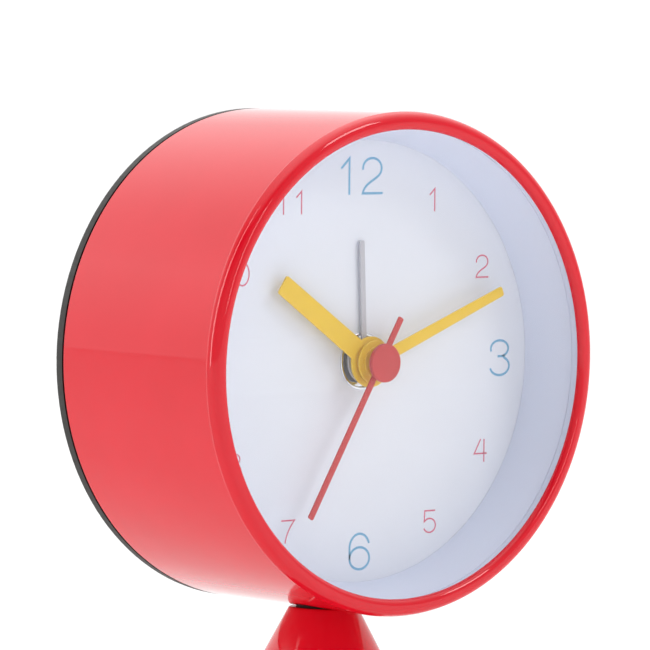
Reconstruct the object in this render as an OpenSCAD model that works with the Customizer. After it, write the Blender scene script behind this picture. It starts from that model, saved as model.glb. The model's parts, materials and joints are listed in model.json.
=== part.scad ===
// Table alarm clock: a round drum on a cone foot, with a quartz alarm movement inside.
// The origin is the centre of the foot's underside, +Z is up and the dial faces -Y.
// A depth is a distance behind the front rim. A place on the dial is [right, up] from its centre.

/* [Case] */
// Outer diameter of the drum
drum_d = 90.5; // [90.5:0.5:93]
// Depth of the drum from the front rim to the back
drum_depth = 45.3; // [45.3:0.1:46.5]
// Wall thickness of the metal shell
shell_wall = 1.4; // [1.2:0.1:1.4]
// Width of the front rim
rim_w = 3.25; // [3.05:0.05:3.4]
// Rounding of the rim's outer edge
rim_round = 1.4; // [0.8:0.1:1.4]
// Height of the drum's centre above the table
drum_z = 77; // [76.5:0.5:80]

/* [Foot] */
// Diameter of the cone's flat top
cone_top_d = 12.6; // [12.4:0.1:13.6]
// Angle of the cone's side from the vertical
cone_angle = 28; // [26:1:30]
// Thickness of the foot's rubber pad
pad_t = 1.6; // [1.4:0.1:2]

/* [Dial] */
// Depth of the dial's face behind the rim
dial_depth = 13.2; // [13.1:0.1:13.3]
// Radius of the dial that shows inside the ring
dial_r = 39.9; // [39.5:0.1:40.5]

/* [Hands] */
// Direction of the hour hand, clockwise from twelve
hour_turn = 304.2; // [0:0.1:359]
// Direction of the minute hand, clockwise from twelve
minute_turn = 68; // [0:1:359]
// Direction of the second hand, clockwise from twelve
second_turn = 210.3; // [0:0.1:359]
// Direction of the alarm hand, clockwise from twelve
alarm_turn = 357; // [0:1:359]
// Length of the hour hand
hour_l = 25.5; // [22:0.5:28]
// Length of the minute hand
minute_l = 33.2; // [30:0.1:36]
// Length of the second hand
second_l = 31.9; // [28:0.1:36]
// Length of the alarm hand
alarm_l = 21.8; // [18:0.1:24]

/* [Hidden] */
$fn = 96;

// Case: radii across the drum, then depths from the rim
drum_r = drum_d / 2;
bead_h = 0.2;            // how far the rolled rim stands out from the side
body_r = drum_r - bead_h;
bore_r = body_r - shell_wall;
rim_r = drum_r - rim_w;
slip = 0.1;              // gap round parts that drop into the shell
fit_r = bore_r - slip;   // outer radius of those parts
lip_back = 1.2;
lens_back = lip_back + 2;
lens_r = fit_r - 1;
dial_t = 0.5;
works_front = dial_depth + dial_t;
seam = drum_depth - 2.24;
cover_front = seam + 0.24;
spigot_front = cover_front - 4;
skirt_t = 1.6;

// Movement: every wheel is one level thick, with a gap before the next level
level_t = 0.8;
plate_t = 1;
case_wall = 1.2;
alarm_level = works_front + case_wall + 0.4;
hour_level = alarm_level + 1.2;
motion_level = hour_level + 1.2;
plate_front = motion_level + 1.2;
centre_level = plate_front + 1.4;
third_level = centre_level + 1.2;
seconds_level = third_level + 1.2;
fifth_level = seconds_level + 1.2;
magnet_front = fifth_level + 1.3;
stator_front = magnet_front + 0.3;
bridge_front = magnet_front + 1.9;
board_front = bridge_front + 1.6;
works_back = board_front + 4.6;
works_half_w = 27;
works_top = 27;
works_bottom = -10.8;
works_corner = 4;

// Shafts: each tube turns inside the next one out
running = 0.06;
arbor_r = 0.5;
second_arbor_r = 0.55;
minute_tube_r = 1.2;
hour_tube_r = 1.9;
alarm_tube_r = 2.6;
bush_r = 4;
stem_r = 1;

// Depths at which the hands sit
alarm_hand_at = 12.3;
hour_hand_at = 10.6;
minute_hand_at = 9.4;
second_hand_at = 7.8;
cap_at = 6.4;
hand_t = 0.4;

// Gears: tooth counts, then the module that sets each pair's centre distance
fine = 0.2;
coarse = 0.3;
rotor_teeth = 10;
fifth_teeth = 50;
fifth_leaves = 10;
seconds_teeth = 60;
seconds_leaves = 8;
third_teeth = 60;
third_leaves = 8;
centre_teeth = 64;
cannon_teeth = 12;
minute_wheel_teeth = 36;
minute_wheel_leaves = 10;
hour_teeth = 40;
alarm_teeth = 56;
alarm_set_teeth = 24;
time_set_teeth = 12;
third_offset = (seconds_leaves + third_teeth) * fine / 2;
centre_module = 2 * third_offset / (centre_teeth + third_leaves);
fifth_offset = (seconds_teeth + fifth_leaves) * fine / 2;
rotor_offset = (fifth_teeth + rotor_teeth) * fine / 2;
minute_wheel_offset = (cannon_teeth + minute_wheel_teeth) * coarse / 2;
hour_module = 2 * minute_wheel_offset / (minute_wheel_leaves + hour_teeth);
set_offset = (alarm_teeth + alarm_set_teeth) * coarse / 2;

// Directions between the shafts, anticlockwise from the right
third_dir = 0;
fifth_dir = 180;
rotor_dir = 180;
alarm_set_dir = 42;
time_set_dir = 180 - alarm_set_dir;
minute_wheel_dir = time_set_dir + acos(set_offset / 2 / minute_wheel_offset);
time_set_from_wheel = time_set_dir - (minute_wheel_dir - time_set_dir);

function polar(r, a) = r * [cos(a), sin(a)];
third_at = polar(third_offset, third_dir);
fifth_at = polar(fifth_offset, fifth_dir);
rotor_at = fifth_at + polar(rotor_offset, rotor_dir);
minute_wheel_at = polar(minute_wheel_offset, minute_wheel_dir);
alarm_set_at = polar(set_offset, alarm_set_dir);
time_set_at = polar(set_offset, time_set_dir);

// Turn that puts gear b in mesh with gear a, when b lies in direction dir from a
function mesh_turn(a_turn, a_teeth, b_teeth, dir) =
    dir + 180 + 180 / b_teeth - (a_turn - dir) * a_teeth / b_teeth;
third_pinion_turn = mesh_turn(0, centre_teeth, third_leaves, third_dir);
seconds_pinion_turn = mesh_turn(0, third_teeth, seconds_leaves, third_dir + 180);
fifth_pinion_turn = mesh_turn(0, seconds_teeth, fifth_leaves, fifth_dir);
rotor_turn = mesh_turn(0, fifth_teeth, rotor_teeth, rotor_dir);
minute_wheel_turn = mesh_turn(0, cannon_teeth, minute_wheel_teeth, minute_wheel_dir);
hour_wheel_turn = mesh_turn(0, minute_wheel_leaves, hour_teeth, minute_wheel_dir + 180);
time_set_gear_turn = mesh_turn(minute_wheel_turn, minute_wheel_teeth, time_set_teeth, time_set_from_wheel);
alarm_set_gear_turn = mesh_turn(0, alarm_teeth, alarm_set_teeth, alarm_set_dir);

// Back of the case
pocket_r = 9;
pocket_floor = drum_depth - 3.2;
pocket_t = 1.6;
knob_r = 6.2;
knob_front = pocket_floor + 0.4;
knob_back = drum_depth - 0.3;
post_r = 2.8;
post_ring = 38.2;
post_dirs = [90, 210, 330];
screw_r = 1.2;
screw_head_r = 2.3;
buzzer_at = [0, 27];
buzzer_r = 7.5;
buzzer_t = 3.4;
slot_w = 1.2;
slot_pitch = 2.6;
switch_at = [24.5, 8];
switch_travel = 4;
switch_slot = [2.4, 10];

// Battery bay, under the movement
cell_r = 7.2;
cell_l = 50.5;
bay_wall = 1.2;
bay_at = [0, -20];
bay_size = [54, 15.2];
bay_floor = 27.4;
cell_depth = cover_front - 8.1;
cell_right = bay_size[0] / 2 - 0.4;
door_size = [55.6, 17.2];
door_t = 1.3;
door_gap = 0.2;
skirt_gap = 0.25;

// Coil and its core
coil_at = [-20.6, 0];
coil_half = 5.8;
core_w = 3;
arm_y = 7.9;
arm_w = 2.8;
ring_r = 4.2;
magnet_r = 2.5;
board_size = [48, 14];
board_at = [0, 18.5];
board_t = 0.8;
lead_r = 0.55;
lead_depth = board_front + board_t + 1.2;
movement_screw_at = [24.3, 24.3];
movement_screw_low = -8.1;

// Foot
cone_slope = tan(cone_angle);
cone_wall = 1.8;
cone_wall_w = cone_wall / cos(cone_angle);
cone_top_r = cone_top_d / 2;
washer_t = 0.15;
cone_top = drum_z - body_r - washer_t;
cone_base = 0.6;
cone_crown = 3;
bolt_r = 2;
bolt_hole_r = bolt_r + 0.05;
bolt_head_r = 3.5;
bolt_head_t = 2.4;
bolt_end = 14;
saddle_t = 1.2;
saddle_w = 14;
weight_top = 20;
weight_neck_r = 3.6;
washer_r = 5;
function cone_r(z) = cone_top_r + (cone_top - z) * cone_slope;

// ---- Helpers ----

// Stands a drawing on the hands' axis: x to the right, y up, z towards the viewer from the rim
module on_axis() translate([0, -drum_depth / 2, drum_z]) rotate([90, 0, 0]) children();

// Extrudes a flat outline between two depths
module slab(front, back) on_axis() translate([0, 0, -back]) linear_extrude(back - front) children();

// A round bar between two depths
module bar(r, front, back, at = [0, 0]) slab(front, back) translate(at) circle(r);

// Spins an outline of [radius, depth] points about the hands' axis
module turned(points) on_axis() rotate_extrude($fn = 180)
    polygon([for (p = points) [p[0], -p[1]]]);

// Points along an arc in [radius, depth], centred on a point
function arc(centre, r, from, to, steps = 6) =
    [for (i = [0:steps]) let (a = from + (to - from) * i / steps) centre + r * [cos(a), sin(a)]];

// A rectangle with rounded corners, centred
module pill(size, r) {
    square([size[0] - 2 * r, size[1]], center = true);
    square([size[0], size[1] - 2 * r], center = true);
    for (x = [-1, 1], y = [-1, 1])
        translate([x * (size[0] / 2 - r), y * (size[1] / 2 - r)]) circle(r);
}

// A gear's outline with straight-sided teeth and a round hole
module gear(teeth, size, hole, turn = 0) {
    pitch_r = teeth * size / 2;
    root_r = pitch_r - 1.05 * size;
    tip_r = pitch_r + 0.75 * size;
    step = 360 / teeth;
    corners = [[root_r, -0.27], [tip_r, -0.12], [tip_r, 0.12], [root_r, 0.27]];
    difference() {
        polygon([for (i = [0:teeth - 1]) for (c = corners) polar(c[0], turn + (i + c[1]) * step)]);
        circle(hole, $fn = 32);
    }
}

// The outline of the movement's casing
module works_outline(inset = 0) {
    translate([0, (works_top + works_bottom) / 2])
        pill([works_half_w, (works_top - works_bottom) / 2] * 2 - [2, 2] * inset, works_corner - inset);
}

// The four places of the movement's screws
module at_movement_screws() {
    for (x = [-1, 1], y = [movement_screw_at[1], movement_screw_low])
        translate([x * movement_screw_at[0], y]) children();
}

// The three places of the back cover's screws
module at_posts() for (a = post_dirs) translate(polar(post_ring, a)) children();

// A flat hand pointing up, with rounded tip corners and a round hub
module hand_outline(length, width, tip_width, hub, hole, corner = 0.45) {
    reach = tip_width / 2 - corner;
    difference() {
        union() {
            circle(hub);
            polygon(concat(
                [[-width / 2, 0], [width / 2, 0]],
                arc([reach, length - corner], corner, 0, 90, 4),
                arc([-reach, length - corner], corner, 90, 180, 4)
            ));
        }
        circle(hole);
    }
}

// A round wire through a list of points, with a slightly larger ball at each bend
module wire(points, r) {
    for (i = [1:len(points) - 1]) {
        run = points[i] - points[i - 1];
        length = norm(run);
        translate(points[i - 1])
            rotate([0, acos(run[2] / length), atan2(run[1], run[0])])
                cylinder(h = length, r = r, $fn = 24);
        if (i < len(points) - 1) translate(points[i]) sphere(1.15 * r, $fn = 24);
    }
}

// ---- Case ----

module case_shell() {
    edge = 0.3;
    color("crimson") difference() {
        turned(concat(
            arc([rim_r + lip_back, lip_back], lip_back, 180, 270),
            arc([drum_r - rim_round, rim_round], rim_round, 270, 360 + acos(1 - bead_h / rim_round), 10),
            [[body_r, seam - edge], [body_r - edge, seam], [bore_r, seam], [bore_r, lip_back]]
        ));
        translate([0, 0, drum_z - body_r - 1]) cylinder(h = shell_wall + 2, r = bolt_hole_r);
    }
}

module lens() color("lightcyan", 0.3) bar(lens_r, lip_back, lens_back);

// Slanted ring round the dial, with a rebate that holds the lens against the lip
module dial_ring() color("white") turned([
    [rim_r - 0.1, lens_back], [lens_r, lens_back], [lens_r, lip_back], [fit_r, lip_back],
    [fit_r, dial_depth], [dial_r, dial_depth]
]);

module dial() color("white") slab(dial_depth, works_front) difference() {
    circle(fit_r);
    circle(bush_r);
}

// Ring and web behind the dial, with posts for the back cover's screws
module inner_frame() {
    web_t = 1.4;
    notch = 9;
    color("gainsboro") {
        slab(works_front, works_front + web_t) difference() {
            circle(fit_r);
            works_outline(-0.2);
        }
        difference() {
            slab(works_front + web_t, spigot_front) difference() {
                circle(fit_r);
                circle(fit_r - skirt_t);
            }
            translate([-notch, -notch, drum_z - body_r]) cube([2 * notch, 4 * notch, 8]);
        }
        difference() {
            slab(works_front + web_t, cover_front) at_posts() circle(post_r);
            slab(cover_front - 9, cover_front + 1) at_posts() circle(screw_r);
        }
    }
}

// ---- Back ----

module pocket_outline(extra = 0) {
    for (at = [time_set_at, alarm_set_at]) translate(at) circle(pocket_r + extra);
    translate([0, time_set_at[1]]) square([2 * alarm_set_at[0], 2 * (pocket_r + extra)], center = true);
}

module slots() {
    for (i = [-2:2]) {
        half = sqrt(pow(buzzer_r - 1.6, 2) - pow(i * slot_pitch, 2));
        translate(buzzer_at + [i * slot_pitch, 0]) pill([slot_w, 2 * half], slot_w / 2 - 0.01);
    }
}

module back_cover() {
    edge = 0.6;
    recess_back = drum_depth + 1;
    color("dimgray") difference() {
        union() {
            turned(concat(
                [[0, cover_front], [body_r, cover_front]],
                arc([body_r - edge, drum_depth - edge], edge, 0, 90),
                [[0, drum_depth]]
            ));
            slab(spigot_front, cover_front) difference() {
                circle(fit_r);
                circle(fit_r - skirt_t);
            }
            slab(pocket_floor - pocket_t, cover_front) pocket_outline(pocket_t);
            slab(bay_floor - bay_wall, cover_front) translate(bay_at)
                square(bay_size + [2, 2] * bay_wall, center = true);
        }
        slab(pocket_floor, recess_back) pocket_outline();
        slab(bay_floor, recess_back) translate(bay_at) square(bay_size, center = true);
        slab(drum_depth - door_t, recess_back) translate(bay_at)
            pill(door_size + [2, 2] * door_gap, 1.5);
        slab(pocket_floor - pocket_t - 1, recess_back)
            for (at = [time_set_at, alarm_set_at]) translate(at) circle(stem_r + running);
        slab(cover_front - 1, recess_back) {
            slots();
            at_posts() circle(screw_r);
            translate(switch_at) square(switch_slot, center = true);
        }
        slab(drum_depth - 1.2, recess_back) {
            at_posts() circle(screw_head_r + 0.2);
            translate(switch_at) pill([6, 14], 1.5);
        }
    }
}

// A pan-head screw pointing forwards from a depth, with a crossed recess in its head
module screw(head_depth, head_r, head_t, shank_r, length) {
    cross = head_r * 1.1;
    difference() {
        union() {
            bar(head_r, head_depth - head_t, head_depth);
            bar(shank_r, head_depth - head_t - length, head_depth - head_t);
        }
        slab(head_depth - head_t * 0.6, head_depth + 1) {
            square([cross, 0.5], center = true);
            square([0.5, cross], center = true);
        }
    }
}

module back_cover_screws() {
    color("silver") for (a = post_dirs) {
        at = polar(post_ring, a);
        translate([at[0], 0, at[1]]) screw(drum_depth - 0.1, screw_head_r, 1.1, screw_r, 8);
    }
}

module battery() {
    nub_l = 1.3;
    rim = 0.6;
    color("goldenrod")
        translate([cell_right - cell_l, cell_depth - drum_depth / 2, drum_z + bay_at[1]])
            rotate([0, 90, 0]) rotate_extrude() polygon([
                [0, 0], [cell_r - rim, 0], [cell_r, rim], [cell_r, cell_l - nub_l - rim],
                [cell_r - rim, cell_l - nub_l], [2.7, cell_l - nub_l], [2.7, cell_l], [0, cell_l]
            ]);
}

module battery_plate() color("silver") slab(bay_floor, cover_front - 1)
    translate([bay_size[0] / 2 - 0.4, bay_at[1] - 5]) square([0.4, 10]);

// A flat contact with a short cone of spring wire on it
module battery_spring() {
    wire_r = 0.35;
    turns = 3;
    base_x = -bay_size[0] / 2 + 0.4;
    reach = cell_right - cell_l - base_x;
    color("silver") {
        slab(bay_floor, cover_front - 1) translate([-bay_size[0] / 2, bay_at[1] - 5]) square([0.4, 10]);
        for (i = [0:turns - 1]) {
            x = base_x + wire_r + (reach - 2 * wire_r) * i / (turns - 1);
            translate([x, cell_depth - drum_depth / 2, drum_z + bay_at[1]])
                rotate([0, 90, 0]) rotate_extrude($fn = 48)
                    translate([4.2 - i * 0.6, 0]) circle(wire_r, $fn = 16);
        }
    }
}

module battery_door() {
    groove_pitch = 1.5;
    color("dimgray") {
        difference() {
            slab(drum_depth - door_t, drum_depth - 0.05) translate(bay_at) pill(door_size, 1.3);
            slab(drum_depth - 0.5, drum_depth + 1) for (i = [-2:2])
                translate(bay_at + [0, 3 + i * groove_pitch]) square([12, 0.6], center = true);
        }
        slab(cover_front - 0.1, drum_depth - door_t) translate(bay_at) difference() {
            square(bay_size - [2, 2] * skirt_gap, center = true);
            square(bay_size - [2, 2] * (skirt_gap + 0.9), center = true);
        }
    }
}

// A lead from a battery contact up the side of the movement to the circuit board
module lead(side) {
    out = side * (bay_size[0] / 2 + bay_wall + 2);
    board_x = side * (board_size[0] / 2 - 4);
    low_y = bay_floor - bay_wall - 1 - drum_depth / 2;
    high_y = lead_depth - drum_depth / 2;
    high_z = drum_z + board_at[1];
    wire([
        [side * (bay_size[0] / 2 - 2), low_y, drum_z + bay_at[1]],
        [out, low_y, drum_z + bay_at[1] + 8],
        [out, high_y, high_z],
        [board_x, high_y, high_z],
        [board_x, board_front + board_t - drum_depth / 2, high_z]
    ], lead_r);
}

module positive_lead() color("red") lead(1);

module negative_lead() color("black") lead(-1);

module buzzer() color("black") bar(buzzer_r, cover_front - buzzer_t, cover_front, buzzer_at);

// ---- Movement casing ----

module movement_front() {
    color("whitesmoke") difference() {
        union() {
            slab(works_front, works_front + case_wall) works_outline();
            slab(works_front + case_wall, plate_front) {
                difference() {
                    works_outline();
                    works_outline(case_wall);
                }
                at_movement_screws() circle(2);
            }
        }
        slab(works_front - 1, plate_front) circle(bush_r);
        slab(works_front + 2, plate_front + 1) at_movement_screws() circle(0.9, $fn = 32);
    }
}

// Holes of a plate for the arbors that pivot in it
module pivots(r) for (at = [third_at, fifth_at, rotor_at]) translate(at) circle(r, $fn = 32);

module middle_plate() {
    color("whitesmoke") {
        slab(plate_front, plate_front + plate_t) difference() {
            works_outline();
            circle(minute_tube_r + running);
            pivots(arbor_r + running);
            for (at = [time_set_at, alarm_set_at]) translate(at) circle(stem_r + running);
            at_movement_screws() circle(0.9, $fn = 32);
        }
        bar(arbor_r, hour_level - 0.3, plate_front, minute_wheel_at);
        slab(plate_front + plate_t, bridge_front) for (y = [-8.2, 9.6]) translate([0, y]) circle(1.1);
        slab(plate_front + plate_t, board_front) for (x = [-16, 16], y = [14, 23])
            translate([x, y]) circle(1.5);
        slab(plate_front + plate_t, stator_front) for (y = [-arm_y, arm_y])
            translate([coil_at[0], y]) circle(1);
    }
}

module train_bridge() color("gainsboro") slab(bridge_front, bridge_front + plate_t) difference() {
    union() {
        translate([-3, 0]) pill([25, 5], 2.4);
        translate([0, 0.9]) pill([4, 20.4], 1.9);
    }
    circle(second_arbor_r + running, $fn = 32);
    pivots(arbor_r + running);
}

module movement_back() {
    color("whitesmoke") difference() {
        union() {
            slab(works_back - case_wall, works_back) works_outline();
            slab(plate_front + plate_t, works_back - case_wall) {
                difference() {
                    works_outline();
                    works_outline(case_wall);
                }
                at_movement_screws() circle(2);
            }
            slab(board_front + board_t, works_back - case_wall) for (x = [-16, 16], y = [14, 23])
                translate([x, y]) circle(1.2);
        }
        slab(plate_front, works_back + 1) {
            for (at = [time_set_at, alarm_set_at]) translate(at) circle(stem_r + running);
            at_movement_screws() circle(0.9, $fn = 32);
            translate(switch_at) square([2, 8], center = true);
        }
        for (side = [-1, 1])
            translate([side * works_half_w, lead_depth - drum_depth / 2, drum_z + board_at[1]])
                rotate([0, 90, 0]) cylinder(h = 6, r = lead_r + 0.15, center = true, $fn = 32);
    }
}

module movement_screws() {
    length = works_back - works_front - 2.6;
    color("silver") for (x = [-1, 1], z = [movement_screw_at[1], movement_screw_low])
        translate([x * movement_screw_at[0], 0, z]) screw(works_back + 1, 1.8, 1, 0.9, length);
}

// Threaded bush through the dial, with a bright rim and a sunk centre
module mounting_bush() color("silver") {
    flange_r = 5.2;
    flange_t = 0.35;
    slab(dial_depth - flange_t, dial_depth) difference() {
        circle(flange_r);
        circle(flange_r - 0.5);
    }
    slab(dial_depth - 0.1, dial_depth) difference() {
        circle(flange_r - 0.5);
        circle(alarm_tube_r + running);
    }
    slab(dial_depth, works_front + case_wall) difference() {
        circle(bush_r);
        circle(alarm_tube_r + running);
    }
}

// ---- Electrics ----

module circuit_board() color("darkgreen") slab(board_front, board_front + board_t) difference() {
    translate(board_at) square(board_size, center = true);
    at_movement_screws() circle(2.4);
}

module chip_cover() color("black") on_axis() translate([-6, board_at[1] + 1, -board_front - board_t - 0.9])
    rotate_extrude() polygon([[0, 0], [2.2, 0], [3.2, 0.5], [3.4, 0.9], [0, 0.9]]);

module quartz_crystal() color("silver")
    translate([4, board_front + board_t + 1 - drum_depth / 2, drum_z + board_at[1]])
        rotate([0, 90, 0]) cylinder(h = 6, r = 1, $fn = 32);

// Stands children on the coil's axis, which runs upwards
module at_coil()
    translate([coil_at[0], stator_front + 0.4 - drum_depth / 2, drum_z + coil_at[1]]) children();

module coil_bobbin() color("ivory") at_coil() difference() {
    union() {
        for (z = [-coil_half, coil_half - 0.8]) translate([0, 0, z]) cylinder(h = 0.8, r = 2.9);
        translate([0, 0, -coil_half]) cylinder(h = 2 * coil_half, r = 1.9);
    }
    cube([core_w, 0.8, 3 * coil_half], center = true);
}

module coil_winding() color("chocolate") at_coil() difference() {
    cylinder(h = 2 * coil_half - 1.6, r = 2.7, center = true);
    cylinder(h = 3 * coil_half, r = 1.9, center = true);
}

// Soft-iron plate that carries the coil's field round the rotor
module stator() color("gray") slab(stator_front, stator_front + 0.8) difference() {
    union() {
        translate(coil_at - [core_w / 2, arm_y + arm_w / 2]) square([core_w, 2 * arm_y + arm_w]);
        for (y = [-arm_y, arm_y])
            translate([coil_at[0] - core_w / 2, y - arm_w / 2])
                square([rotor_at[0] - coil_at[0] + 2, arm_w]);
        translate([rotor_at[0] - 3.2, -arm_y]) square([3.4, 2 * arm_y]);
        translate(rotor_at) circle(ring_r);
    }
    translate(rotor_at) circle(magnet_r + 0.35);
}

module alarm_contact() color("goldenrod") slab(hour_level + 0.2, hour_level + 0.9)
    translate([9, works_bottom + case_wall]) square([9, 0.4]);

module switch_contact() color("goldenrod") slab(board_front + board_t, board_front + board_t + 0.4)
    for (x = [20.4, 22.4]) translate([x, 11.8]) square([1.2, 4]);

// ---- Wheels and shafts ----

module wheel(teeth, size, level, hole, at = [0, 0], turn = 0)
    slab(level, level + level_t) translate(at) gear(teeth, size, hole, turn);

module rotor_magnet() color("dimgray")
    slab(magnet_front, magnet_front + 1.4) translate(rotor_at) difference() {
        circle(magnet_r);
        circle(arbor_r);
    }

module rotor_pinion() color("ivory") {
    wheel(rotor_teeth, fine, fifth_level, arbor_r - 0.1, rotor_at, rotor_turn);
    bar(arbor_r, plate_front + 0.2, bridge_front + plate_t - 0.2, rotor_at);
}

module fifth_wheel() color("ivory") {
    wheel(fifth_teeth, fine, fifth_level, arbor_r - 0.1, fifth_at);
    wheel(fifth_leaves, fine, seconds_level, arbor_r - 0.1, fifth_at, fifth_pinion_turn);
    bar(arbor_r, plate_front + 0.2, bridge_front + plate_t - 0.2, fifth_at);
}

module seconds_wheel() color("ivory") {
    wheel(seconds_teeth, fine, seconds_level, second_arbor_r - 0.1);
    wheel(seconds_leaves, fine, third_level, second_arbor_r - 0.1, [0, 0], seconds_pinion_turn);
    bar(second_arbor_r, cap_at + 0.6, bridge_front + plate_t - 0.2);
}

module third_wheel() color("ivory") {
    wheel(third_teeth, fine, third_level, arbor_r - 0.1, third_at);
    wheel(third_leaves, centre_module, centre_level, arbor_r - 0.1, third_at, third_pinion_turn);
    bar(arbor_r, plate_front + 0.2, bridge_front + plate_t - 0.2, third_at);
}

module centre_wheel() color("goldenrod") wheel(centre_teeth, centre_module, centre_level, minute_tube_r);

module cannon_pinion() color("silver") {
    wheel(cannon_teeth, coarse, motion_level, minute_tube_r - 0.1);
    slab(minute_hand_at - 0.2, centre_level + level_t) difference() {
        circle(minute_tube_r);
        circle(second_arbor_r + running, $fn = 32);
    }
}

module minute_wheel() color("ivory") {
    hole = arbor_r + running;
    wheel(minute_wheel_teeth, coarse, motion_level, hole, minute_wheel_at, minute_wheel_turn);
    wheel(minute_wheel_leaves, hour_module, hour_level, hole, minute_wheel_at);
    slab(hour_level + level_t, motion_level) translate(minute_wheel_at) difference() {
        circle(1);
        circle(hole, $fn = 32);
    }
}

module hour_wheel() color("ivory") {
    wheel(hour_teeth, hour_module, hour_level, minute_tube_r + running, [0, 0], hour_wheel_turn);
    slab(hour_hand_at - 0.2, hour_level) difference() {
        circle(hour_tube_r);
        circle(minute_tube_r + running);
    }
}

module alarm_wheel() color("ivory") {
    wheel(alarm_teeth, coarse, alarm_level, hour_tube_r + running);
    slab(alarm_hand_at - 0.2, alarm_level) difference() {
        circle(alarm_tube_r);
        circle(hour_tube_r + running);
    }
}

module time_set_stem() color("ivory") {
    wheel(time_set_teeth, coarse, motion_level, stem_r - 0.1, time_set_at, time_set_gear_turn);
    bar(stem_r, motion_level, knob_front, time_set_at);
}

module alarm_set_stem() color("ivory") {
    wheel(alarm_set_teeth, coarse, alarm_level, stem_r - 0.1, alarm_set_at, alarm_set_gear_turn);
    bar(stem_r, alarm_level, knob_front, alarm_set_at);
}

// ---- Hands ----

// Turns a hand about the axis, clockwise from twelve, at its depth
module pointed(turn, front, back) slab(front, back) rotate(-turn) children();

module tube(outer, inner, front, back) slab(front, back) difference() {
    circle(outer);
    circle(inner);
}

module alarm_hand() color("silver")
    pointed(alarm_turn, alarm_hand_at, alarm_hand_at + 0.45)
        hand_outline(alarm_l, 1.1, 1.1, 3.9, alarm_tube_r, 0.15);

module hour_hand() color("gold") {
    pointed(hour_turn, hour_hand_at, hour_hand_at + hand_t)
        hand_outline(hour_l, 3.9, 3.7, 4.6, hour_tube_r);
    tube(2.8, hour_tube_r, hour_hand_at + hand_t, hour_hand_at + 1.2);
}

module minute_hand() color("gold") {
    tube(2.8, minute_tube_r, minute_hand_at - 0.4, minute_hand_at);
    pointed(minute_turn, minute_hand_at, minute_hand_at + hand_t)
        hand_outline(minute_l, 2.25, 1.8, 3.9, minute_tube_r);
    tube(2.2, minute_tube_r, minute_hand_at + hand_t, minute_hand_at + 0.9);
}

module second_hand() {
    tail_l = 9.3;
    second_w = 1.25;
    color("indianred") {
        pointed(second_turn, second_hand_at, second_hand_at + 0.3) difference() {
            union() {
                circle(2.6);
                translate([0, (second_l - tail_l) / 2]) pill([second_w, second_l + tail_l], 0.3);
            }
            circle(second_arbor_r, $fn = 32);
        }
        tube(1.1, second_arbor_r, second_hand_at + 0.3, second_hand_at + 0.9);
    }
}

module second_cap() color("indianred") difference() {
    turned([[0, cap_at], [3.2, cap_at], [3.5, cap_at + 0.3], [3.5, cap_at + 0.8],
        [1.2, cap_at + 0.8], [1.2, second_hand_at], [0, second_hand_at]]);
    bar(second_arbor_r, cap_at + 0.6, second_hand_at + 1);
}

// ---- Controls ----

module knob(at) {
    ribs = 24;
    color("dimgray") slab(knob_front, knob_back) translate(at) difference() {
        circle(knob_r);
        for (i = [0:ribs - 1]) rotate(i * 360 / ribs) translate([knob_r, 0]) circle(0.35, $fn = 16);
        circle(0.8, $fn = 32);
    }
}

module time_set_knob() knob(time_set_at);

module alarm_set_knob() knob(alarm_set_at);

module alarm_switch() {
    start = switch_at - [0, switch_travel / 2];
    color("red") {
        slab(drum_depth - 1, drum_depth + 0.4) translate(start) pill([4, 4], 0.6);
        slab(cover_front - 1.4, drum_depth - 1) translate(start) square([2, 4], center = true);
        slab(cover_front - 2.2, cover_front - 1.4) translate(start) square([5, 4], center = true);
        slab(works_back - 2.4, cover_front - 2.2) translate(start) square([1.6, 2], center = true);
    }
}

// ---- Foot ----

// Spins an outline of [radius, height] points about the foot's axis
module on_foot(points) rotate_extrude($fn = 180) polygon(points);

module foot_cone() {
    edge = 0.6;
    edge_r = cone_top_r - edge * (1 - sin(cone_angle)) / cos(cone_angle);
    crown_under = cone_top - cone_crown;
    color("crimson") difference() {
        on_foot(concat(
            [[cone_r(cone_base) - cone_wall_w, cone_base], [cone_r(cone_base), cone_base]],
            arc([edge_r, cone_top - edge], edge, cone_angle, 90),
            [[0, cone_top], [0, crown_under], [cone_r(crown_under) - cone_wall_w, crown_under]]
        ));
        cylinder(h = drum_z, r = bolt_hole_r);
    }
}

// Cylinder of the drum's own size, for parts that saddle it
module drum_body(r) translate([0, 0, drum_z]) rotate([90, 0, 0])
    cylinder(h = 2 * drum_depth, r = r, center = true, $fn = 720);

module foot_washer() color("black") difference() {
    translate([0, 0, cone_top]) cylinder(h = 1, r = washer_r);
    drum_body(body_r);
    cylinder(h = drum_z, r = bolt_hole_r);
}

module foot_saddle() color("silver") difference() {
    intersection() {
        translate([-saddle_w / 2, -saddle_w / 2, drum_z - body_r]) cube([saddle_w, saddle_w, 6]);
        drum_body(bore_r);
    }
    drum_body(bore_r - saddle_t);
    cylinder(h = drum_z, r = bolt_hole_r);
}

module foot_bolt() {
    head_z = drum_z - sqrt(pow(bore_r - saddle_t, 2) - pow(bolt_head_r, 2)) + 0.02;
    color("silver") difference() {
        union() {
            translate([0, 0, head_z]) cylinder(h = bolt_head_t, r = bolt_head_r);
            translate([0, 0, bolt_end]) cylinder(h = head_z - bolt_end, r = bolt_r);
        }
        translate([0, 0, head_z + 1]) cylinder(h = bolt_head_t, r = 1.7, $fn = 6);
    }
}

module foot_weight() {
    room = cone_wall_w + 0.2;
    color("gray") difference() {
        on_foot([
            [0, pad_t], [cone_r(pad_t) - room, pad_t], [cone_r(weight_top) - room, weight_top],
            [weight_neck_r, weight_top], [weight_neck_r, cone_top - cone_crown], [0, cone_top - cone_crown]
        ]);
        translate([0, 0, bolt_end]) cylinder(h = drum_z, r = bolt_r);
    }
}

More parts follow.
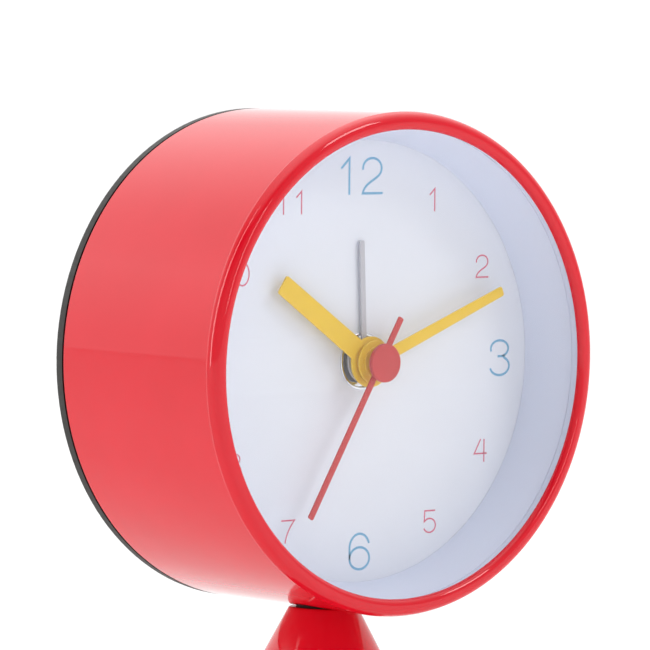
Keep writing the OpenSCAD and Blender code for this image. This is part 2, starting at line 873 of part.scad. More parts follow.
module foot_pad() {
    r = cone_r(pad_t) - cone_wall_w - 0.2;
    color("black") on_foot([[0, 0], [r - 0.3, 0], [r, 0.3], [r, pad_t], [0, pad_t]]);
}

case_shell();
lens();
dial_ring();
dial();
inner_frame();
back_cover();
back_cover_screws();
foot_cone();
foot_washer();
foot_saddle();
foot_bolt();
foot_weight();
foot_pad();
battery();
battery_plate();
battery_spring();
battery_door();
positive_lead();
negative_lead();
movement_front();
middle_plate();
train_bridge();
movement_back();
movement_screws();
mounting_bush();
circuit_board();
chip_cover();
quartz_crystal();
coil_bobbin();
coil_winding();
stator();
buzzer();
alarm_contact();
switch_contact();
rotor_magnet();
rotor_pinion();
fifth_wheel();
seconds_wheel();
third_wheel();
centre_wheel();
cannon_pinion();
minute_wheel();
hour_wheel();
alarm_wheel();
time_set_stem();
alarm_set_stem();
alarm_hand();
hour_hand();
minute_hand();
second_hand();
second_cap();
time_set_knob();
alarm_set_knob();
alarm_switch();
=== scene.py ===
"""Looks of the table alarm clock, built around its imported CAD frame.

Lengths below are millimetres in the clock's own terms: across the dial from the hands' axis,
and behind the front rim. The helpers turn them into metres in the CAD frame.
"""

import json
import math

import bpy
import bmesh
from mathutils import Matrix, Vector


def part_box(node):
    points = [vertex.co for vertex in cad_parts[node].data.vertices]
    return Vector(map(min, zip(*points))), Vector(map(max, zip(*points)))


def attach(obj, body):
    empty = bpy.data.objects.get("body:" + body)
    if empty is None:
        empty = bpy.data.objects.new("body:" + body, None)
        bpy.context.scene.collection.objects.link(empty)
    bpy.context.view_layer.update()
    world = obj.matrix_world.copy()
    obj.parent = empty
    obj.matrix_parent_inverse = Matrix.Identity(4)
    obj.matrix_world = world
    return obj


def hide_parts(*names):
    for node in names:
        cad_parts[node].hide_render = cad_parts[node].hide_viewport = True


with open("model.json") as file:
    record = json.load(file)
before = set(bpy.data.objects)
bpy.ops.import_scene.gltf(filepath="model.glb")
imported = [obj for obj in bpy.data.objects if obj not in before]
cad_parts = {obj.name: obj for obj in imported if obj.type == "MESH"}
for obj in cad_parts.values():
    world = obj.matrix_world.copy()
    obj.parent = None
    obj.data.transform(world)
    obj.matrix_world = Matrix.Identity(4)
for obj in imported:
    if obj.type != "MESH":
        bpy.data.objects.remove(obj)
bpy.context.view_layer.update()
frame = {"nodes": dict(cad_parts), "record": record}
SCENE = bpy.context.scene
MM = 0.001

# ---- Where things are, read from the frame ----


def depths(node):
    """How far behind the front rim a CAD node starts and ends, in millimetres."""
    low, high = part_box(node)
    return (low.y - RIM_Y) / MM, (high.y - RIM_Y) / MM


def radius(node):
    low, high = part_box(node)
    return (high.x - low.x) / 2 / MM


LENS_LOW, LENS_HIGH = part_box("lens")
RIM_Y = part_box("case_shell")[0].y
AXIS_Z = (LENS_LOW.z + LENS_HIGH.z) / 2

DRUM_R = radius("case_shell")
BODY_R = radius("back_cover")
RIM_W = 3.25
RIM_R = DRUM_R - RIM_W
FIT_R = radius("dial")
BORE_R = FIT_R + 0.1
LENS_R = radius("lens")
LENS_FRONT, LENS_BACK = depths("lens")
DIAL_FRONT, DIAL_BACK = depths("dial")
DIAL_SIGHT_R = 39.9     # what the slanted ring leaves of the dial
DIAL_HOLE_R = 4.75
SEAM = depths("case_shell")[1]

# How far each hand is turned clockwise from 12, in degrees, as in the CAD frame at rest
HOUR_TURN = 304.2
MINUTE_TURN = 68
SECOND_TURN = 210.3
ALARM_TURN = -3

# ---- Meshes ----


def srgb(red, green, blue):
    """A linear colour from the three bytes of a screen colour."""
    def linear(byte):
        part = byte / 255
        return part / 12.92 if part <= 0.04045 else ((part + 0.055) / 1.055) ** 2.4
    return (linear(red), linear(green), linear(blue), 1.0)


def place(right, up, depth):
    """A point of the clock, in metres in the CAD frame."""
    return Vector((right * MM, RIM_Y + depth * MM, AXIS_Z + up * MM))


def arc(centre, radii, start, end, steps):
    """Points along an arc or a part of an ellipse, by angle in degrees."""
    rx, ry = radii if isinstance(radii, tuple) else (radii, radii)
    turns = [math.radians(start + (end - start) * i / steps) for i in range(steps + 1)]
    return [(centre[0] + rx * math.cos(t), centre[1] + ry * math.sin(t)) for t in turns]


def bezier(start, first, second, end):
    """Points along a cubic curve with two handles."""
    steps = 12
    points = []
    for i in range(steps + 1):
        t = i / steps
        weights = ((1 - t) ** 3, 3 * t * (1 - t) ** 2, 3 * t * t * (1 - t), t ** 3)
        points.append(tuple(
            sum(w * p[axis] for w, p in zip(weights, (start, first, second, end))) for axis in (0, 1)
        ))
    return points


def finish_mesh(obj, sharp=35):
    """Smooth shading with hard edges where faces meet at more than an angle."""
    mesh = obj.data
    mesh.polygons.foreach_set("use_smooth", [True] * len(mesh.polygons))
    mesh.set_sharp_from_angle(angle=math.radians(sharp))
    mesh.update()
    return obj


def new_object(name, mesh, material):
    obj = bpy.data.objects.new(name, mesh)
    SCENE.collection.objects.link(obj)
    mesh.materials.append(material)
    return obj


def from_bmesh(name, bm, material, sharp=35):
    bmesh.ops.recalc_face_normals(bm, faces=bm.faces)
    mesh = bpy.data.meshes.new(name)
    bm.to_mesh(mesh)
    bm.free()
    return finish_mesh(new_object(name, mesh, material), sharp)


def lathe(name, outline, material, steps=288, where=None):
    """Spins a closed outline of (radius, along) points. The default axis is the hands' axis."""
    where = where or (lambda r, along, turn: place(r * math.cos(turn), r * math.sin(turn), along))
    bm = bmesh.new()
    rings = []
    for r, along in outline:
        if r < 1e-6:
            rings.append([bm.verts.new(where(0, along, 0))] * steps)
        else:
            rings.append([bm.verts.new(where(r, along, 2 * math.pi * i / steps)) for i in range(steps)])
    for one, two in zip(rings, rings[1:] + rings[:1]):
        for i in range(steps):
            j = (i + 1) % steps
            corners = list(dict.fromkeys((one[i], one[j], two[j], two[i])))
            if len(corners) > 2:
                bm.faces.new(corners)
    return from_bmesh(name, bm, material)


def on_foot(r, height, turn):
    """Where a point spun about the foot's axis is, in metres."""
    return Vector((r * math.cos(turn), r * math.sin(turn), height)) * MM


def rounded(corners, steps=6):
    """An outline with some corners rounded. Each corner is (x, y) or (x, y, radius)."""
    points = []
    count = len(corners)
    for i, corner in enumerate(corners):
        if len(corner) == 2:
            points.append(corner)
            continue
        here = Vector(corner[:2])
        before = (Vector(corners[i - 1][:2]) - here).normalized()
        after = (Vector(corners[(i + 1) % count][:2]) - here).normalized()
        half = before.angle(after) / 2
        reach = corner[2] / math.tan(half)
        centre = here + (before + after).normalized() * (corner[2] / math.sin(half))
        start, end = here + before * reach - centre, here + after * reach - centre
        sweep = start.angle_signed(end)
        for step in range(steps + 1):
            turn = Matrix.Rotation(-sweep * step / steps, 2)
            points.append(tuple(centre + turn @ start))
    return points


def plate(name, loops, front, back, material, bevel, turn=0.0):
    """A flat stamping between two depths with softened edges. loops are outlines and holes."""
    curve = bpy.data.curves.new(name, "CURVE")
    curve.dimensions = "2D"
    curve.fill_mode = "BOTH"
    for loop in loops:
        spline = curve.splines.new("POLY")
        spline.points.add(len(loop) - 1)
        for point, (x, y) in zip(spline.points, loop):
            point.co = (x, y, 0, 1)
        spline.use_cyclic_u = True
    curve.extrude = (back - front) / 2 - bevel
    curve.bevel_depth = bevel
    curve.bevel_resolution = 2
    curve.offset = -bevel
    holder = bpy.data.objects.new(name + "_outline", curve)
    SCENE.collection.objects.link(holder)
    bpy.context.view_layer.update()
    mesh = bpy.data.meshes.new_from_object(holder.evaluated_get(bpy.context.evaluated_depsgraph_get()))
    bpy.data.objects.remove(holder)
    bpy.data.curves.remove(curve)
    bm = bmesh.new()
    bm.from_mesh(mesh)
    bpy.data.meshes.remove(mesh)
    bmesh.ops.remove_doubles(bm, verts=bm.verts, dist=1e-4)
    spin = Matrix.Rotation(-math.radians(turn), 2)
    middle = (front + back) / 2
    for vert in bm.verts:
        flat = spin @ vert.co.xy
        vert.co = place(flat.x, flat.y, middle - vert.co.z)
    return from_bmesh(name, bm, material)


def ring_loop(r, steps):
    """A circle round the hands' axis, without its closing point."""
    return arc((0, 0), r, 0, 360 - 360 / steps, steps - 1)


def join(name, objects):
    """One object from several, keeping the first one's name and material."""
    bm = bmesh.new()
    for obj in objects:
        bm.from_mesh(obj.data)
    material = objects[0].data.materials[0]
    for obj in objects:
        mesh = obj.data
        bpy.data.objects.remove(obj)
        bpy.data.meshes.remove(mesh)
    mesh = bpy.data.meshes.new(name)
    bm.to_mesh(mesh)
    bm.free()
    return finish_mesh(new_object(name, mesh, material))


# ---- Materials ----

# Sockets of a Mix node that mixes colours, where several share a name
MIX_FACTOR, MIX_A, MIX_B, MIX_RESULT = 0, 6, 7, 2


class Shader:
    """A Principled material with short ways to feed its sockets."""

    def __init__(self, name, color, roughness=0.5, **sockets):
        self.material = bpy.data.materials.new(name)
        self.material.use_nodes = True
        self.tree = self.material.node_tree
        self.bsdf = self.tree.nodes["Principled BSDF"]
        self.bsdf.inputs["Base Color"].default_value = color
        self.bsdf.inputs["Roughness"].default_value = roughness
        for socket, value in sockets.items():
            self.bsdf.inputs[socket.replace("_", " ")].default_value = value
        self.place = self.tree.nodes.new("ShaderNodeTexCoord").outputs["Object"]

    def node(self, kind, **values):
        made = self.tree.nodes.new(kind)
        for name, value in values.items():
            if name in made.inputs:
                made.inputs[name].default_value = value
            else:
                setattr(made, name, value)
        return made

    def link(self, source, target):
        self.tree.links.new(source, target)

    def noise(self, size_mm, detail=3.0, roughness=0.5, stretch=None):
        """Noise whose features are about size_mm across, as a value round one half."""
        scale = 1 / (size_mm * MM)
        made = self.node("ShaderNodeTexNoise", Scale=scale, Detail=detail, Roughness=roughness)
        if stretch:
            mapping = self.node("ShaderNodeMapping")
            mapping.inputs["Scale"].default_value = stretch
            self.link(self.place, mapping.inputs["Vector"])
            self.link(mapping.outputs["Vector"], made.inputs["Vector"])
        else:
            self.link(self.place, made.inputs["Vector"])
        return made.outputs["Fac"]

    def spread(self, value, low, high):
        """Maps the range that most noise values lie in to the range low to high."""
        made = self.node("ShaderNodeMapRange")
        for name, number in (("From Min", 0.3), ("From Max", 0.7), ("To Min", low), ("To Max", high)):
            made.inputs[name].default_value = number
        self.link(value, made.inputs["Value"])
        return made.outputs["Result"]

    def vary_roughness(self, value, low, high):
        self.link(self.spread(value, low, high), self.bsdf.inputs["Roughness"])
        return self

    def vary_color(self, value, one, two):
        made = self.node("ShaderNodeMix", data_type="RGBA")
        made.inputs[MIX_A].default_value = one
        made.inputs[MIX_B].default_value = two
        self.link(self.spread(value, 0, 1), made.inputs[MIX_FACTOR])
        self.link(made.outputs[MIX_RESULT], self.bsdf.inputs["Base Color"])
        return self

    def bump(self, value, height_mm, strength=1.0, coat=False):
        """Bumps whose full height is height_mm. Calls add up."""
        made = self.node("ShaderNodeBump", Distance=height_mm * MM, Strength=strength)
        self.link(value, made.inputs["Height"])
        target = self.bsdf.inputs["Normal"]
        if target.links:
            self.link(target.links[0].from_socket, made.inputs["Normal"])
        self.link(made.outputs["Normal"], target)
        if coat:
            self.link(made.outputs["Normal"], self.bsdf.inputs["Coat Normal"])
        return self


def lacquer():
    """Thick gloss lacquer on metal, with the faint orange peel of a sprayed coat."""
    shade = Shader("red_lacquer", (0.76, 0.0045, 0.018, 1), 0.4, Coat_Weight=1.0, Coat_Roughness=0.03)
    shade.bsdf.inputs["Specular IOR Level"].default_value = 0.0
    shade.vary_color(shade.noise(14, 2), (0.745, 0.004, 0.0165, 1), (0.775, 0.005, 0.0195, 1))
    return shade.bump(shade.noise(1.6, 2, 0.4), 0.0035, 0.6, coat=True).material


def satin_white():
    shade = Shader("ring_white", srgb(222, 229, 247), 0.42)
    return shade.bump(shade.noise(0.25, 2), 0.004, 0.35).material


def dial_card():
    shade = Shader("dial_white", srgb(234, 238, 247), 0.55)
    shade.vary_color(shade.noise(9, 3), srgb(233, 237, 246), srgb(235, 239, 248))
    return shade.bump(shade.noise(0.12, 2), 0.003, 0.3).material


def ink(name, color):
    """Screen-printed ink, slightly uneven where it wets the card."""
    shade = Shader(name, color, 0.4)
    lighter = tuple(min(1, c * 1.12) for c in color[:3]) + (1,)
    return shade.vary_color(shade.noise(0.5, 3), color, lighter).material


def hand_paint(name, color, roughness=0.38):
    """Satin spray paint on stamped metal."""
    shade = Shader(name, color, roughness)
    darker = tuple(c * 0.95 for c in color[:3]) + (1,)
    shade.vary_color(shade.noise(3, 3), darker, color)
    shade.vary_roughness(shade.noise(1.2, 3), roughness - 0.06, roughness + 0.06)
    return shade.bump(shade.noise(0.2, 2), 0.003, 0.35).material


def brushed(name, color, roughness=0.3, stretch=(40, 1, 1)):
    shade = Shader(name, color, roughness, Metallic=1.0)
    grain = shade.noise(2.0, 4, 0.6, stretch)
    shade.vary_roughness(grain, roughness - 0.08, roughness + 0.1)
    return shade.bump(grain, 0.002, 0.3).material


def moulded(name, color, roughness=0.5, grain_mm=0.18, height_mm=0.012):
    """Spark-eroded moulded plastic."""
    shade = Shader(name, color, roughness)
    lighter = tuple(min(1, c * 1.15) for c in color[:3]) + (1,)
    shade.vary_color(shade.noise(6, 4), color, lighter)
    shade.vary_roughness(shade.noise(0.8, 3), roughness - 0.07, roughness + 0.07)
    return shade.bump(shade.noise(grain_mm, 3), height_mm, 0.5).material


def clear():
    shade = Shader("clear_lens", (1, 1, 1, 1), 0.03, Alpha=0.035, IOR=1.5)
    return shade.material


RED = lacquer()
RING = satin_white()
DIAL = dial_card()
BLUE_INK = ink("blue_ink", srgb(112, 172, 208))
RED_INK = ink("red_ink", srgb(214, 108, 132))
YELLOW = hand_paint("yellow_paint", srgb(242, 200, 36))
HAND_RED = hand_paint("hand_red", srgb(202, 50, 54))
SILVER = hand_paint("alarm_silver", srgb(196, 196, 204), 0.4)
CHROME = brushed("chrome_trim", srgb(225, 227, 232), 0.12, (1, 1, 1))
STEEL = brushed("zinc_steel", srgb(176, 178, 182), 0.34)
BLACK = moulded("black_plastic", srgb(34, 31, 28), 0.5)
WHITE_PLASTIC = moulded("white_plastic", srgb(226, 226, 222), 0.45)
GEAR = moulded("gear_plastic", srgb(228, 220, 198), 0.35, 0.3, 0.004)
RUBBER = moulded("rubber", srgb(36, 35, 35), 0.8, 0.3, 0.02)
BRASS = brushed("brass", srgb(206, 170, 98), 0.3)
COPPER = brushed("copper_wire", srgb(176, 92, 50), 0.35, (1, 1, 60))
RESIN = moulded("resin_black", srgb(26, 26, 27), 0.35, 0.4, 0.004)
BOARD = moulded("board_green", srgb(34, 96, 56), 0.35, 0.5, 0.004)
WRAP = moulded("battery_wrap", srgb(188, 150, 62), 0.3, 0.5, 0.002)
IRON = moulded("iron", srgb(92, 92, 96), 0.6, 0.5, 0.03)
MAGNET = moulded("magnet", srgb(60, 60, 64), 0.45, 0.3, 0.01)
LEAD_RED = moulded("lead_red", srgb(196, 34, 34), 0.4, 0.3, 0.004)
LEAD_BLACK = moulded("lead_black", srgb(28, 28, 28), 0.4, 0.3, 0.004)
SWITCH_RED = moulded("switch_red", srgb(205, 40, 44), 0.45)
LENS = clear()

BY_SLOT = {
    "red_lacquer": RED, "clear_lens": LENS, "white_ring": RING, "dial_print": DIAL,
    "white_plastic": WHITE_PLASTIC, "black_plastic": BLACK, "yellow_paint": YELLOW,
    "red_paint": HAND_RED, "alarm_silver": SILVER, "chrome_trim": CHROME, "steel": STEEL,
    "iron": IRON, "rubber": RUBBER, "battery_wrap": WRAP, "brass": BRASS, "copper_wire": COPPER,
    "gear_plastic": GEAR, "board_green": BOARD, "resin_black": RESIN, "magnet": MAGNET,
    "lead_red": LEAD_RED, "lead_black": LEAD_BLACK, "switch_red": SWITCH_RED,
}
for part in frame["record"]["subparts"]:
    node = frame["nodes"][part["node"]]
    for slot in node.material_slots:
        slot.material = BY_SLOT[part["material_slot"]]


def stands_for(obj, body, slot, *nodes):
    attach(obj, body)
    if nodes:
        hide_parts(*nodes)


# ---- Case ----


def rolled_bead():
    """The rim's outer edge: a round front, a slow curve and a tight turn down to the side."""
    front, slow, tight = 1.6, 4.5, 0.6
    first, second = -23, -10
    fall = math.degrees(math.acos(1 - (DRUM_R - BODY_R) / tight))

    def towards(turn):
        return Vector((math.cos(math.radians(turn)), math.sin(math.radians(turn))))

    tight_at = Vector((DRUM_R - tight, 0))
    slow_at = tight_at + towards(second) * (tight - slow)
    front_at = slow_at + towards(first) * (slow - front)
    shift = Vector((0, front - front_at.y))
    points = arc(front_at + shift, front, -90, first, 14)
    points += arc(slow_at + shift, slow, first, second, 6)[1:]
    points += arc(tight_at + shift, tight, second, fall, 8)[1:]
    return points[:-1] + [(*points[-1], 0.12)]


def build_case():
    lip_round = 1.15
    shell = lathe("drum_shell", rounded([
        (RIM_R, LENS_FRONT), (RIM_R, 0, lip_round), *rolled_bead(),
        (BODY_R, SEAM, 0.35), (BORE_R, SEAM), (BORE_R, LENS_FRONT),
    ], 10), RED, 360)
    stands_for(shell, "root", "red_lacquer", "case_shell")

    lens = lathe("dial_lens", rounded([
        (0, LENS_FRONT), (LENS_R, LENS_FRONT, 0.3), (LENS_R, LENS_BACK, 0.3), (0, LENS_BACK),
    ], 3), LENS, 192)
    stands_for(lens, "root", "clear_lens", "lens")

    ring = lathe("slanted_ring", rounded([
        (LENS_R - 0.15, LENS_BACK), (LENS_R, LENS_BACK), (LENS_R, LENS_FRONT), (FIT_R, LENS_FRONT),
        (FIT_R, DIAL_FRONT), (DIAL_SIGHT_R, DIAL_FRONT, 0.1),
    ], 3), RING, 288)
    stands_for(ring, "root", "white_ring", "dial_ring")

    outline, hole = ring_loop(FIT_R, 192), ring_loop(DIAL_HOLE_R, 64)
    card = plate("dial_card", [outline, hole], DIAL_FRONT, DIAL_BACK, DIAL, 0.03)
    stands_for(card, "root", "dial_print", "dial")

    hole_r, recess_r, flange_r = 2.66, 4.6, 5.2
    neck_r = DIAL_HOLE_R - 0.01
    front, floor = depths("mounting_bush")[0], DIAL_FRONT + 0.42
    bush = lathe("chrome_bush", rounded([
        (hole_r, floor), (recess_r, floor), (recess_r + 0.08, front, 0.08), (flange_r, front, 0.15),
        (flange_r, DIAL_FRONT), (neck_r, DIAL_FRONT), (neck_r, DIAL_BACK), (hole_r, DIAL_BACK),
    ], 5), CHROME, 128)
    stands_for(bush, "root", "chrome_trim", "mounting_bush")


# ---- Numerals ----

DIGIT_W = 0.75


def digit_strokes(digit):
    """Centre lines of a thin numeral in a box DIGIT_W wide and 1 high."""
    w = DIGIT_W

    def ellipse(x, y, rx, ry, start, end, steps=28):
        return arc((x, y), (rx, ry), start, end, steps)

    if digit == "0":
        return [ellipse(w / 2, 0.5, w / 2 - 0.02, 0.49, 0, 360, 48)]
    if digit == "1":
        return [[(-0.29, 0.715), (0, 0.985), (0, 0)]]
    if digit == "2":
        top = ellipse(0.37, 0.71, 0.335, 0.275, 188, -28)
        sweep = bezier(top[-1], (0.56, 0.40), (0.10, 0.34), (0.03, 0.03))
        return [top + sweep[1:] + [(w, 0.03)]]
    if digit == "3":
        top = ellipse(0.37, 0.755, 0.325, 0.225, 200, -62)
        low = ellipse(0.375, 0.27, 0.355, 0.255, 62, -168)
        return [top + [(0.55, 0.54)], [(0.30, 0.54), (0.55, 0.54)] + low]
    if digit == "4":
        return [[(0.38, 1.0), (0.01, 0.37), (w, 0.37)], [(0.58, 1.0), (0.58, 0)]]
    if digit == "5":
        bowl = ellipse(0.375, 0.325, 0.345, 0.305, 142, -158)
        return [[(0.70, 0.97), (0.10, 0.97), (0.075, 0.50)] + bowl[2:]]
    if digit in "69":
        back = ellipse(0.385, 0.60, 0.355, 0.385, 17, 180)
        strokes = [back + [(0.03, 0.30)], ellipse(0.385, 0.315, 0.355, 0.30, 0, 360, 48)]
        if digit == "9":
            strokes = [[(w - x, 1 - y) for x, y in stroke] for stroke in strokes]
        return strokes
    if digit == "7":
        return [[(0.02, 0.97), (w, 0.97)] + bezier((w, 0.97), (0.44, 0.62), (0.28, 0.3), (0.24, 0))[1:]]
    if digit == "8":
        top = ellipse(0.375, 0.76, 0.29, 0.22, 0, 360, 40)
        return [top, ellipse(0.375, 0.275, 0.355, 0.26, 0, 360, 44)]
    raise ValueError(digit)


def stroke_ribbon(bm, points, width, front, back):
    """Adds a flat ribbon of constant width along a line, mitred at its bends."""
    line = [Vector(p) for p in points]
    closed = (line[0] - line[-1]).length < 1e-6
    if closed:
        line.pop()
    count = len(line)
    rows = []
    for i, here in enumerate(line):
        before = line[i - 1] if closed or i else None
        after = line[(i + 1) % count] if closed or i < count - 1 else None
        one = (here - before).normalized() if before is not None else None
        two = (after - here).normalized() if after is not None else None
        one, two = one or two, two or one
        normal_one, normal_two = Vector((-one.y, one.x)), Vector((-two.y, two.x))
        mitre = (normal_one + normal_two).normalized()
        reach = width / 2 / max(mitre.dot(normal_one), 0.35)
        pair = [here + mitre * reach, here - mitre * reach]
        rows.append([bm.verts.new(place(p.x, p.y, depth)) for depth in (front, back) for p in pair])
    pairs = list(zip(rows, rows[1:] + rows[:1])) if closed else list(zip(rows, rows[1:]))
    for (a, b, c, d), (e, f, g, h) in pairs:
        for corners in ((a, b, f, e), (c, g, h, d), (a, e, g, c), (b, d, h, f)):
            bm.faces.new(corners)
    if not closed:
        for a, b, c, d in (rows[0], rows[-1]):
            bm.faces.new((a, c, d, b))


def numeral_layout(text, height):
    """Places a numeral's digits side by side, centred on the origin."""
    strokes, x = [], 0.0
    for i, digit in enumerate(text):
        if digit == "1":
            x += 0.29 if i == 0 else 1.0
            start = x
        elif i:
            x += 0.45
            start = x
        else:
            start = x
        strokes += [[(px + start, py) for px, py in stroke] for stroke in digit_strokes(digit)]
        if digit != "1":
            x += DIGIT_W
    middle = x / 2
    return [[((px - middle) * height, (py - 0.5) * height) for px, py in stroke] for stroke in strokes]


def build_numerals():
    """The printed ring of numerals, which sits a little low and turned on its card."""
    ring_r, skew = 33.92, math.radians(-0.7)
    shift = Vector((-0.28, -0.54))
    proud = 0.015
    spin = Matrix.Rotation(-skew, 2)
    big, small = (6.65, 0.44), (4.2, 0.29)      # height and stroke
    groups = {"numerals_blue": (BLUE_INK, big, (12, 3, 6, 9)),
              "numerals_red": (RED_INK, small, (1, 2, 4, 5, 7, 8, 10, 11))}
    for name, (material, (height, width), hours) in groups.items():
        bm = bmesh.new()
        for hour in hours:
            turn = math.radians(30 * hour) + skew
            centre = ring_r * Vector((math.sin(turn), math.cos(turn))) + shift
            for stroke in numeral_layout(str(hour), height):
                line = [tuple(centre + spin @ Vector(point)) for point in stroke]
                stroke_ribbon(bm, line, width, DIAL_FRONT - proud, DIAL_FRONT + proud)
        stands_for(from_bmesh(name, bm, material, 60), "root", "dial_print")


# ---- Hands ----


def hub_and_blade(hub, length, width, tip_width, corner=0.45):
    """Outline of a round hub with a straight blade pointing up."""
    gap = math.degrees(math.asin(width / 2 / hub))
    ring = arc((0, 0), hub, 90 + gap, 450 - gap, 72)
    x = tip_width / 2 - corner
    tip = arc((x, length - corner), corner, 0, 90, 6) + arc((-x, length - corner), corner, 90, 180, 6)
    return ring + tip


def needle(hub, length, tail, width):
    """Outline of a thin hand that runs through its hub, with square ends."""
    gap = math.degrees(math.asin(width / 2 / hub))
    half, r = width / 2, 0.3
    right = arc((0, 0), hub, 90 - gap, -90 + gap, 36)
    left = arc((0, 0), hub, 270 - gap, 90 + gap, 36)
    foot = arc((half - r, r - tail), r, 0, -90, 4) + arc((r - half, r - tail), r, -90, -180, 4)
    tip = arc((r - half, length - r), r, 180, 90, 4) + arc((half - r, length - r), r, 90, 0, 4)
    return right + foot + left + tip


def collet(name, outer, inner, front, back, material):
    return lathe(name, rounded([
        (inner, front), (outer, front, 0.12), (outer, back, 0.08), (inner, back),
    ], 3), material, 96)


def build_hands():
    sheet, lap = 0.4, 0.05      # the blades' thickness, and how far a collet runs into its blade

    front, back = depths("hour_hand")
    hole = 1.9
    outline = hub_and_blade(hub=4.6, length=25.5, width=3.9, tip_width=3.7)
    blade = plate("hour_blade", [outline, ring_loop(hole, 48)], front, front + sheet, YELLOW, 0.1,
                  HOUR_TURN)
    hub = collet("hour_collet", 2.8, hole, front + sheet - lap, back, YELLOW)
    stands_for(join("hour_hand_painted", [blade, hub]), "hour", "yellow_paint", "hour_hand")

    front, back = depths("minute_hand")
    hole, step_h = 1.2, 0.4
    near, far = front + step_h, front + step_h + sheet
    outline = hub_and_blade(hub=3.9, length=33.2, width=2.25, tip_width=1.8)
    blade = plate("minute_blade", [outline, ring_loop(hole, 48)], near, far, YELLOW, 0.1, MINUTE_TURN)
    step = collet("minute_step", 2.8, hole, front, near + lap, YELLOW)
    hub = collet("minute_collet", 2.2, hole, far - lap, back, YELLOW)
    stands_for(join("minute_hand_painted", [blade, step, hub]), "minute", "yellow_paint", "minute_hand")

    front, back = depths("second_hand")
    hole, thin, thin_lap = 0.55, 0.3, 0.02
    outline = needle(hub=2.6, length=31.9, tail=9.3, width=1.25)
    blade = plate("second_blade", [outline, ring_loop(hole, 32)], front, front + thin, HAND_RED, 0.07,
                  SECOND_TURN)
    hub = collet("second_collet", 1.1, hole, front + thin - thin_lap, back, HAND_RED)
    stands_for(join("second_hand_painted", [blade, hub]), "second", "red_paint", "second_hand")

    front, back = depths("second_cap")
    cap_r, stem_r, under = 3.5, 1.2, front + 0.8
    cap = lathe("second_cap_painted", rounded([
        (0, front), (cap_r, front, 0.3), (cap_r, under, 0.1), (stem_r, under), (stem_r, back), (0, back),
    ], 6), HAND_RED, 128)
    stands_for(cap, "second", "red_paint", "second_cap")

    front, back = depths("alarm_hand")
    outline = hub_and_blade(hub=3.9, length=21.8, width=1.1, tip_width=1.1, corner=0.15)
    blade = plate("alarm_hand_painted", [outline, ring_loop(2.6, 64)], front, back, SILVER, 0.06,
                  ALARM_TURN)
    stands_for(blade, "alarm", "alarm_silver", "alarm_hand")


# ---- Foot ----


def build_foot():
    low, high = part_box("foot_cone")
    top, base = high.z / MM, low.z / MM
    top_r, top_t, half_angle = 6.3, 3, math.radians(28)
    slope = math.tan(half_angle)
    base_r = top_r + (top - base) * slope
    wall = 1.8 / math.cos(half_angle)
    under = top - top_t
    cone = lathe("cone_foot", rounded([
        (0, under), (top_r + top_t * slope - wall, under), (base_r - wall, base), (base_r, base, 0.35),
        (top_r, top, 0.6), (0, top),
    ], 8), RED, 288, where=on_foot)
    stands_for(cone, "root", "red_lacquer", "foot_cone")


# ---- Back ----


def softened(name, node, body, slot, width=0.15):
    """A copy of a CAD node with its hard edges rounded."""
    source = frame["nodes"][node]
    bm = bmesh.new()
    bm.from_mesh(source.data)
    bm.transform(source.matrix_world)
    bmesh.ops.remove_doubles(bm, verts=bm.verts, dist=1e-6)
    bmesh.ops.dissolve_limit(bm, angle_limit=math.radians(0.5), verts=bm.verts, edges=bm.edges)
    hard = [edge for edge in bm.edges if edge.is_manifold and edge.calc_face_angle(0) > math.radians(40)]
    bmesh.ops.bevel(bm, geom=hard, offset=width * MM, segments=2, profile=0.5, affect="EDGES",
                    clamp_overlap=True)
    stands_for(from_bmesh(name, bm, BY_SLOT[slot], 20), body, slot, node)


def build_back():
    softened("moulded_back", "back_cover", "root", "black_plastic", 0.2)
    softened("battery_hatch", "battery_door", "door", "black_plastic", 0.12)
    softened("time_knob", "time_set_knob", "time_set", "black_plastic", 0.15)
    softened("alarm_knob", "alarm_set_knob", "alarm_set", "black_plastic", 0.15)
    softened("switch_slider", "alarm_switch", "switch", "switch_red", 0.12)
    softened("cover_screws", "back_cover_screws", "root", "steel", 0.08)


build_case()
build_numerals()
build_hands()
build_foot()
build_back()

# ---- Studio ----


def build_floor():
    bm = bmesh.new()
    half = 30.0
    bm.faces.new([bm.verts.new((x * half, y * half, 0)) for x, y in ((-1, -1), (1, -1), (1, 1), (-1, 1))])
    shade = Shader("studio_floor", (0.93, 0.93, 0.93, 1), 0.7)
    from_bmesh("floor", bm, shade.material)


# Brightness of the studio round the clock, for four rising bands. Each has the height of its middle
# in degrees, and eight levels clockwise from behind the clock: bright behind, dark round the camera.
# The levels weren't chosen by hand: another program fitted them to the photograph's brightness
BANDS = [
    (5, (1.27, 1.10, 0.89, 0.50, 0.60, 0.60, 0.47, 1.39)),
    (23, (1.50, 1.08, 1.18, 0.61, 0.45, 0.50, 0.33, 1.80)),
    (48, (1.44, 1.90, 1.73, 0.99, 0.29, 0.00, 0.00, 0.60)),
    (76, (1.74,) * 8),
]
BRIGHTEST = 2.0

# Tall light panels round the clock, whose reflections are the pale lines on the rim: the direction
# clockwise from behind the clock, the heights of the lower and upper edge, the width, and watts
PANELS = {
    "left_panel": (285, 0.0, 5.5, 0.3, 26),
    "front_panel": (180, 0.4, 1.95, 0.3, 7),
}
PANEL_DISTANCE = 3


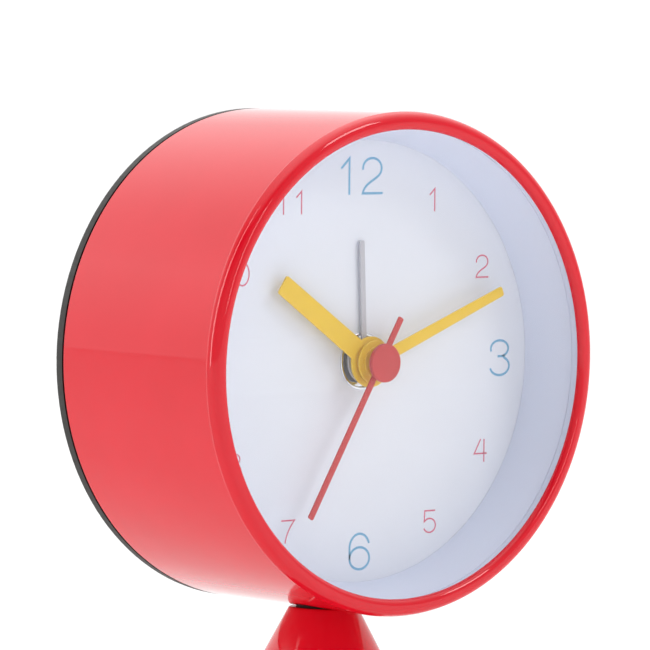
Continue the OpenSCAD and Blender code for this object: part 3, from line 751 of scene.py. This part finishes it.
def build_world():
    """Soft light from screens round the set: bright behind and above, dark round the camera."""
    world = bpy.data.worlds.new("studio")
    SCENE.world = world
    world.use_nodes = True
    tree = world.node_tree

    def math_node(kind, *values):
        made = tree.nodes.new("ShaderNodeMath")
        made.operation = kind
        for socket, value in zip(made.inputs, values):
            if isinstance(value, (int, float)):
                socket.default_value = value
            else:
                tree.links.new(value, socket)
        return made.outputs[0]

    parts = tree.nodes.new("ShaderNodeSeparateXYZ")
    tree.links.new(tree.nodes.new("ShaderNodeTexCoord").outputs["Generated"], parts.inputs[0])
    turn = math_node("DIVIDE", math_node("ARCTAN2", parts.outputs["X"], parts.outputs["Y"]), 2 * math.pi)
    turn = math_node("FRACT", math_node("ADD", turn, 1.0))
    height = math_node("DIVIDE", math_node("ARCSINE", parts.outputs["Z"]), math.radians(1))
    before, light = None, None
    for angle, levels in BANDS:
        ramp = tree.nodes.new("ShaderNodeValToRGB")
        stops = ramp.color_ramp.elements
        for i in range(7):
            stops.new((i + 1) / 8)
        for i, stop in enumerate(stops):
            stop.position = i / 8
            level = levels[i % 8] / BRIGHTEST
            stop.color = (level, level, level, 1)
        tree.links.new(turn, ramp.inputs["Fac"])
        if light is None:
            light = ramp.outputs["Color"]
        else:
            share = tree.nodes.new("ShaderNodeMapRange")
            share.inputs["From Min"].default_value = before
            share.inputs["From Max"].default_value = angle
            tree.links.new(height, share.inputs["Value"])
            mix = tree.nodes.new("ShaderNodeMix")
            mix.data_type = "RGBA"
            tree.links.new(share.outputs["Result"], mix.inputs[MIX_FACTOR])
            tree.links.new(light, mix.inputs[MIX_A])
            tree.links.new(ramp.outputs["Color"], mix.inputs[MIX_B])
            light = mix.outputs[MIX_RESULT]
        before = angle
    background = tree.nodes["Background"]
    tree.links.new(light, background.inputs["Color"])
    background.inputs["Strength"].default_value = BRIGHTEST


def soft_box(name, position, target, size, power):
    light = bpy.data.lights.new(name, "AREA")
    light.shape = "RECTANGLE"
    light.size, light.size_y = size
    light.energy = power
    obj = bpy.data.objects.new(name, light)
    SCENE.collection.objects.link(obj)
    obj.location = position
    obj.rotation_euler = (Vector(target) - Vector(position)).to_track_quat("-Z", "Y").to_euler()


def build_lights():
    soft_box("key", (0.55, -0.9, 0.95), (0, 0, AXIS_Z), (0.35, 0.35), 2.5)
    for name, (direction, low, high, width, power) in PANELS.items():
        turn = math.radians(direction)
        middle = Vector((0, 0, (low + high) / 2))
        away = Vector((math.sin(turn), math.cos(turn), 0)) * PANEL_DISTANCE
        soft_box(name, middle + away, middle, (width, high - low), power)


def build_camera():
    """The photograph's viewpoint: a long lens, a little above the drum's centre, to its left.

    Another program fitted the angles, the aim, the distance and the lens to the photograph.
    """
    azimuth, elevation, roll = math.radians(-40.64), math.radians(2.8), math.radians(0.98)
    aim = place(-19.45, 7.49, 0.9)
    distance = 0.96408      # metres, from the aim to the lens
    back = Vector((
        math.sin(azimuth) * math.cos(elevation), -math.cos(azimuth) * math.cos(elevation),
        math.sin(elevation),
    ))
    right = (-back).cross(Vector((0, 0, 1))).normalized()
    up = right.cross(-back)
    tilted_right = math.cos(roll) * right + math.sin(roll) * up
    tilted_up = -math.sin(roll) * right + math.cos(roll) * up
    camera = bpy.data.cameras.new("camera")
    camera.lens = 302.9
    camera.sensor_width = 36
    camera.clip_start, camera.clip_end = 0.05, 100
    obj = bpy.data.objects.new("camera", camera)
    SCENE.collection.objects.link(obj)
    turned = Matrix((tilted_right, tilted_up, back)).transposed().to_4x4()
    obj.matrix_world = Matrix.Translation(aim + back * distance) @ turned
    SCENE.camera = obj


build_floor()
build_world()
build_lights()
build_camera()
SCENE.view_settings.view_transform = "Standard"
SCENE.cycles.use_denoising = True
